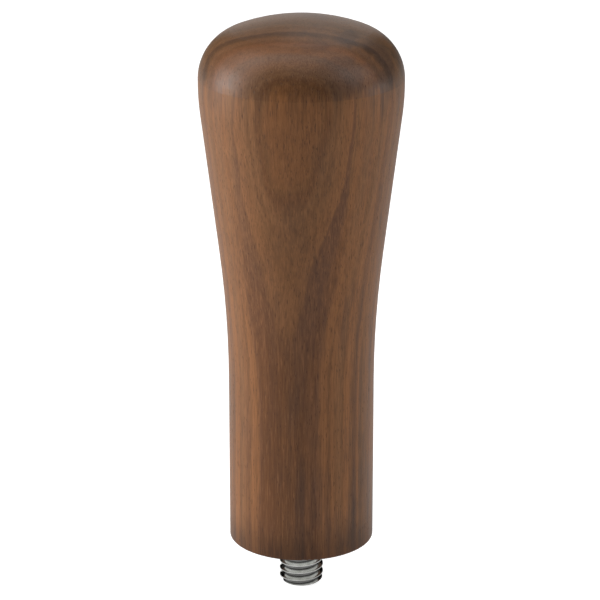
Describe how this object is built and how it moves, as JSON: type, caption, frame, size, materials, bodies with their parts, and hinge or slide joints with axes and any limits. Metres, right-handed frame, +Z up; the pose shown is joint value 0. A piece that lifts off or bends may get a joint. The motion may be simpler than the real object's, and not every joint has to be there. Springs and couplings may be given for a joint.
{
  "type": "espresso tamper handle",
  "caption": "Turned walnut tamper handle with a domed top and a threaded steel stud that screws into a tamper base.",
  "frame": {"origin": "centre of the grip's underside, the face that seats on a tamper base", "axes": "+Z up along the grip's axis towards the domed top; the stud points along -Z; +X and +Y are free because the grip is turned"},
  "size_m": [0.0358, 0.0358, 0.1052],
  "materials": {
    "walnut": "oiled, satin",
    "insert_brass": "turned",
    "stud_steel": "rolled thread, bright"
  },
  "bodies": {
    "root": {"walnut_grip": "walnut", "threaded_insert": "insert_brass", "threaded_stud": "stud_steel"}
  },
  "joints": []
}
